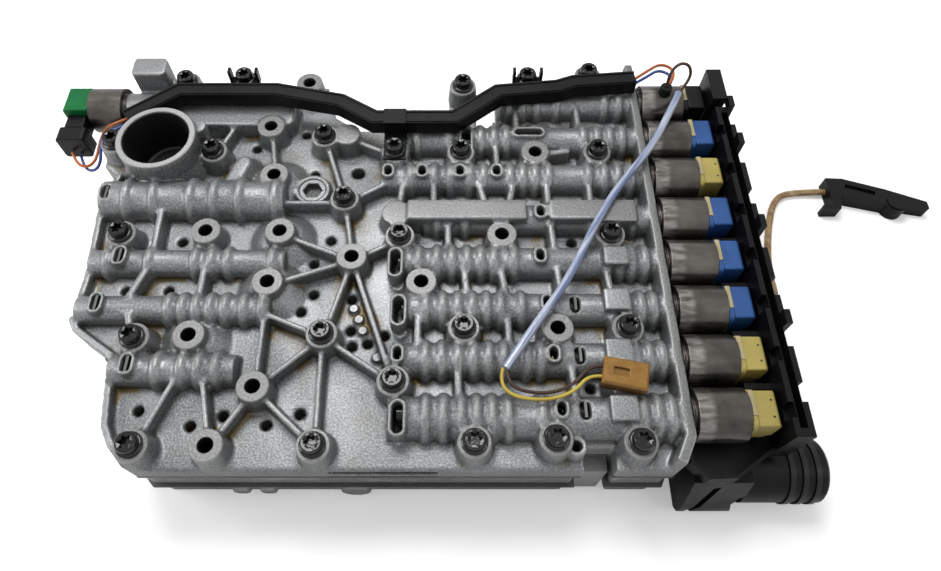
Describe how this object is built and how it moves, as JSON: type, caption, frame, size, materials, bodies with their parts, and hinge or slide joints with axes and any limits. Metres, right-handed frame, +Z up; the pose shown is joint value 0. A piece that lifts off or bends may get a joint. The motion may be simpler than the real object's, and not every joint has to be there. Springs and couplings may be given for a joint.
{
  "type": "transmission valve body",
  "caption": "Hydraulic control block for an automatic gearbox: stacked castings with spool valves, a row of colour-capped solenoids, a wiring duct and a round plug socket.",
  "frame": {"origin": "middle of the flat underside of the lowest casting", "axes": "+X towards the row of solenoids and the plug socket, +Y towards the wiring duct, +Z up through the stack of castings"},
  "size_m": [0.5057, 0.2395, 0.083],
  "materials": {
    "cast_aluminium": "sand-cast, satin, with machined faces",
    "plate_steel": "stamped sheet, satin",
    "black_steel": "black phosphate, oily",
    "bright_steel": "ground, bright",
    "spring_steel": "brass-coloured drawn wire",
    "can_steel": "dark plated, satin",
    "blue_plastic": "moulded, satin",
    "yellow_plastic": "moulded, satin",
    "green_plastic": "moulded, satin",
    "cream_plastic": "moulded, satin",
    "ochre_plastic": "moulded, translucent look",
    "black_plastic": "moulded, fine texture",
    "seal_rubber": "smooth, dark",
    "black_rubber": "smooth",
    "orange_insulation": "smooth",
    "blue_insulation": "smooth",
    "brown_insulation": "smooth",
    "yellow_insulation": "smooth",
    "clear_tubing": "soft translucent tubing",
    "amber_tubing": "heat-yellowed tubing"
  },
  "bodies": {
    "valve_body": {"upper_valve_housing": "cast_aluminium", "channel_housing": "cast_aluminium", "lower_valve_housing": "cast_aluminium", "upper_separator_plate": "plate_steel", "lower_separator_plate": "plate_steel", "stack_screws": "black_steel", "duct_screws": "black_steel", "clamp_screw": "black_steel", "screw_plug": "bright_steel", "bore_plugs": "bright_steel", "plug_clips": "plate_steel", "solenoid_bodies": "can_steel", "left_solenoid_body": "can_steel", "yellow_caps": "yellow_plastic", "blue_caps": "blue_plastic", "dark_cap": "black_plastic", "cap_collars": "cream_plastic", "green_cap": "green_plastic", "left_plug": "black_plastic", "wiring_duct": "black_plastic", "clamp_strap": "black_plastic", "solenoid_frame": "black_plastic", "socket_bracket": "black_plastic", "plug_socket": "black_plastic", "socket_seals": "seal_rubber", "wire_grommet": "black_rubber", "orange_wires": "orange_insulation", "blue_wires": "blue_insulation", "brown_wire": "brown_insulation", "yellow_wire": "yellow_insulation", "clear_sleeve": "clear_tubing", "sensor_lead": "amber_tubing", "sensor_body": "black_plastic", "ochre_connector": "ochre_plastic", "spring_right_1": "spring_steel", "spring_right_2": "spring_steel", "spring_right_3": "spring_steel", "spring_right_4": "spring_steel", "spring_right_5": "spring_steel", "spring_right_6": "spring_steel", "spring_right_7": "spring_steel", "spring_right_8": "spring_steel", "spring_left_one": "spring_steel", "spring_left_two": "spring_steel", "spring_left_three": "spring_steel", "spring_left_four": "spring_steel"},
    "spool_right_1": {"spool_right_1": "bright_steel"},
    "spool_right_2": {"spool_right_2": "bright_steel"},
    "spool_right_3": {"spool_right_3": "bright_steel"},
    "spool_right_4": {"spool_right_4": "bright_steel"},
    "spool_right_5": {"spool_right_5": "bright_steel"},
    "spool_right_6": {"spool_right_6": "bright_steel"},
    "spool_right_7": {"spool_right_7": "bright_steel"},
    "spool_right_8": {"spool_right_8": "bright_steel"},
    "spool_left_one": {"spool_left_one": "bright_steel"},
    "spool_left_two": {"spool_left_two": "bright_steel"},
    "spool_left_three": {"spool_left_three": "bright_steel"},
    "spool_left_four": {"spool_left_four": "bright_steel"}
  },
  "joints": [
    {"name": "slide_right_1", "type": "slide", "parent": "valve_body", "child": "spool_right_1", "axis": [1, 0, 0], "range_m": [0, 0.006], "stiffness_N_per_m": 800, "springref_m": -0.004, "deforming": ["spring_right_1"]},
    {"name": "slide_right_2", "type": "slide", "parent": "valve_body", "child": "spool_right_2", "axis": [1, 0, 0], "range_m": [0, 0.006], "stiffness_N_per_m": 800, "springref_m": -0.004, "deforming": ["spring_right_2"]},
    {"name": "slide_right_3", "type": "slide", "parent": "valve_body", "child": "spool_right_3", "axis": [1, 0, 0], "range_m": [0, 0.006], "stiffness_N_per_m": 800, "springref_m": -0.004, "deforming": ["spring_right_3"]},
    {"name": "slide_right_4", "type": "slide", "parent": "valve_body", "child": "spool_right_4", "axis": [1, 0, 0], "range_m": [0, 0.006], "stiffness_N_per_m": 800, "springref_m": -0.004, "deforming": ["spring_right_4"]},
    {"name": "slide_right_5", "type": "slide", "parent": "valve_body", "child": "spool_right_5", "axis": [1, 0, 0], "range_m": [0, 0.006], "stiffness_N_per_m": 800, "springref_m": -0.004, "deforming": ["spring_right_5"]},
    {"name": "slide_right_6", "type": "slide", "parent": "valve_body", "child": "spool_right_6", "axis": [1, 0, 0], "range_m": [0, 0.006], "stiffness_N_per_m": 800, "springref_m": -0.004, "deforming": ["spring_right_6"]},
    {"name": "slide_right_7", "type": "slide", "parent": "valve_body", "child": "spool_right_7", "axis": [1, 0, 0], "range_m": [0, 0.006], "stiffness_N_per_m": 800, "springref_m": -0.004, "deforming": ["spring_right_7"]},
    {"name": "slide_right_8", "type": "slide", "parent": "valve_body", "child": "spool_right_8", "axis": [1, 0, 0], "range_m": [0, 0.006], "stiffness_N_per_m": 800, "springref_m": -0.004, "deforming": ["spring_right_8"]},
    {"name": "slide_left_one", "type": "slide", "parent": "valve_body", "child": "spool_left_one", "axis": [-1, 0, 0], "range_m": [0, 0.006], "stiffness_N_per_m": 800, "springref_m": -0.004, "deforming": ["spring_left_one"]},
    {"name": "slide_left_two", "type": "slide", "parent": "valve_body", "child": "spool_left_two", "axis": [-1, 0, 0], "range_m": [0, 0.006], "stiffness_N_per_m": 800, "springref_m": -0.004, "deforming": ["spring_left_two"]},
    {"name": "slide_left_three", "type": "slide", "parent": "valve_body", "child": "spool_left_three", "axis": [-1, 0, 0], "range_m": [0, 0.006], "stiffness_N_per_m": 800, "springref_m": -0.004, "deforming": ["spring_left_three"]},
    {"name": "slide_left_four", "type": "slide", "parent": "valve_body", "child": "spool_left_four", "axis": [-1, 0, 0], "range_m": [0, 0.006], "stiffness_N_per_m": 800, "springref_m": -0.004, "deforming": ["spring_left_four"]}
  ]
}
